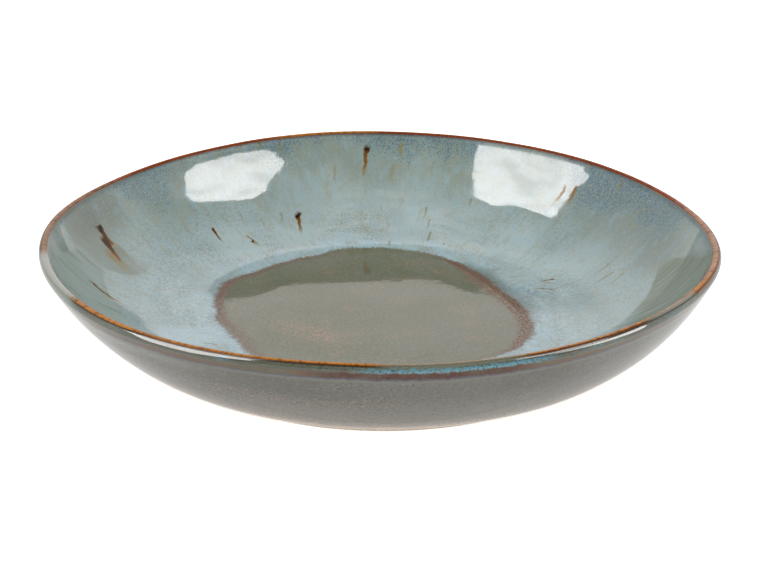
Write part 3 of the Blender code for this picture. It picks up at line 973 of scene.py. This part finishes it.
# Studio
# A plain white table in a white room, lit by two softboxes above, left and right, and a wide one in front.
floor_material, tree, shader = new_material("white_table")
fill(shader, {"Base Color": (0.96, 0.96, 0.96, 1), "Roughness": 0.9, "Specular IOR Level": 0.0})
TABLE_SIZE = 4.0  # half its width
TABLE_GLOW = 0.76  # white that the camera sees on top of the lit and shaded table
MIRRORED_GLOW = 0.38  # and what the glaze mirrors of it
rays = tree.nodes.new("ShaderNodeLightPath").outputs
seen = work("MAXIMUM", rays["Is Camera Ray"], rays["Is Transmission Ray"])
glow = times(seen, TABLE_GLOW)
glow = scaled(rays["Is Glossy Ray"], MIRRORED_GLOW, glow)
fill(shader, {"Emission Color": (1, 1, 1, 1), "Emission Strength": glow})
bm = bmesh.new()
bmesh.ops.create_grid(bm, x_segments=1, y_segments=1, size=TABLE_SIZE)
floor = add_mesh("white_table", bm, floor_material)

ROOM_LIGHT = 0.45  # even light from all round
CEILING = 0.07  # what reflections see of the dim studio above and in front, where the backdrop ends
world = bpy.data.worlds.new("white_room")
bpy.context.scene.world = world
world.use_nodes = True
tree = world.node_tree
rays = tree.nodes.new("ShaderNodeLightPath").outputs
seen = work("MAXIMUM", rays["Is Camera Ray"], rays["Is Transmission Ray"])
look = tree.nodes.new("ShaderNodeTexCoord").outputs["Generated"]
behind = ramp(along(look, (0, 1, 0)), -0.45, 0.05)
low = ramp(along(look, (0, 0, 1)), 0.80, 0.55)
backdrop = work("MAXIMUM", times(behind, low), CEILING)
strength = work("MAXIMUM", seen, times(rays["Is Glossy Ray"], backdrop))
plain = work("SUBTRACT", 1.0, work("MAXIMUM", seen, rays["Is Glossy Ray"]))
strength = scaled(plain, ROOM_LIGHT, strength)
fill(tree.nodes["Background"], {"Strength": strength, "Color": (1, 1, 1, 1)})


def lamp(name, centre, width, height, power):
    """A soft area lamp that looks at the bowl; reflections show the white cards instead."""
    light = bpy.data.lights.new(name, "AREA")
    light.shape = "RECTANGLE"
    light.size = width
    light.size_y = height
    light.energy = power
    made = add_object(name, light)
    made.location = centre
    made.rotation_euler = Vector(centre).to_track_quat("Z", "Y").to_euler()
    made.visible_camera = False
    made.visible_glossy = False


lamp("lamp_left", (-0.64, -0.09, 0.71), width=0.60, height=0.60, power=2.5)
lamp("lamp_right", (0.60, -0.13, 0.74), width=0.50, height=0.40, power=2.5)
lamp("lamp_front", (0, -1.5, 0.45), width=1.8, height=0.6, power=8.0)

# Middle of each softbox, and how bright its cloth is at least and how much its folds add
SOFTBOX_LEFT = (-0.637, -0.085, 0.712)
SOFTBOX_RIGHT = (0.592, -0.131, 0.744)
CLOTH_GLOW = 7.4
FOLD_GLOW = 2.6
card_material, tree, shader = new_material("softbox_cloth")
own_place = tree.nodes.new("ShaderNodeTexCoord").outputs["Object"]
cloth = on_vector("MULTIPLY", own_place, (MM, MM, MM))
folds = ramp(cloud(cloth, 130, detail=3), 0.30, 0.58)
strength = scaled(folds, FOLD_GLOW, CLOTH_GLOW)
shine = add_node(tree, "ShaderNodeEmission", {"Color": (1, 0.97, 0.97, 1), "Strength": strength})
fill(tree.nodes["Material Output"], {"Surface": shine.outputs[0]})
card_material.cycles.emission_sampling = "NONE"


def softbox(name, centre, corners):
    """The lit cloth of a softbox, facing the bowl, which shows in the glaze as a highlight."""
    facing = Vector(centre).normalized()
    across = Vector((0, 0, 1)).cross(facing).normalized()
    rise = facing.cross(across)
    bm = bmesh.new()
    verts = [bm.verts.new(Vector(centre) + across * x + rise * y) for x, y in corners]
    bm.faces.new(verts)
    card = add_mesh(name, bm, card_material)
    card.visible_camera = False
    card.visible_diffuse = False
    card.visible_shadow = False


softbox(
    "softbox_left",
    SOFTBOX_LEFT,
    (
        (0.41, -0.02), (0.60, -0.16), (0.65, -0.47), (0.56, -1.13), (0.14, -0.96),
        (-0.06, -0.45), (-0.16, -0.34), (-0.20, -0.33), (-0.18, -0.19), (-0.26, 0.04),
        (-0.41, 0.26), (-0.34, 0.27), (-0.23, 0.31), (-0.23, 0.43), (-0.10, 0.43),
        (0.15, 0.26), (0.30, 0.12),
    ),
)
softbox(
    "softbox_right",
    SOFTBOX_RIGHT,
    (
        (0.11, -0.20), (0.03, -0.23), (-0.16, -0.20), (-0.28, -0.11), (-0.29, -0.06),
        (-0.23, 0.06), (-0.05, 0.17), (0.06, 0.24), (0.19, 0.25), (0.26, 0.14),
        (0.31, 0.11), (0.31, 0.05), (0.18, -0.12),
    ),
)

# The lower end of the right one, which shows only on the outside of the lip
softbox(
    "softbox_right_foot",
    SOFTBOX_RIGHT,
    ((-0.33, -0.30), (0.25, -0.36), (0.22, -1.11), (-0.05, -0.85), (-0.30, -0.45)),
)

# Camera
# Level with the photograph's view: a long lens, a little above the rim.
CAMERA_RISE = 21.46
CAMERA_WAY = 0.975
LENS = 102.77
SENSOR_WIDTH = 36
AIM = Vector((0.00028, -0.0004, 0.0283))
camera_data = bpy.data.cameras.new("camera")
camera_data.sensor_width = SENSOR_WIDTH
camera_data.lens = LENS
camera = add_object("camera", camera_data)
back = Vector((0, -math.cos(math.radians(CAMERA_RISE)), math.sin(math.radians(CAMERA_RISE))))
camera.location = AIM + back * CAMERA_WAY
camera.rotation_euler = (math.radians(90 - CAMERA_RISE), 0, 0)
bpy.context.scene.camera = camera
bpy.context.scene.view_settings.view_transform = "Standard"
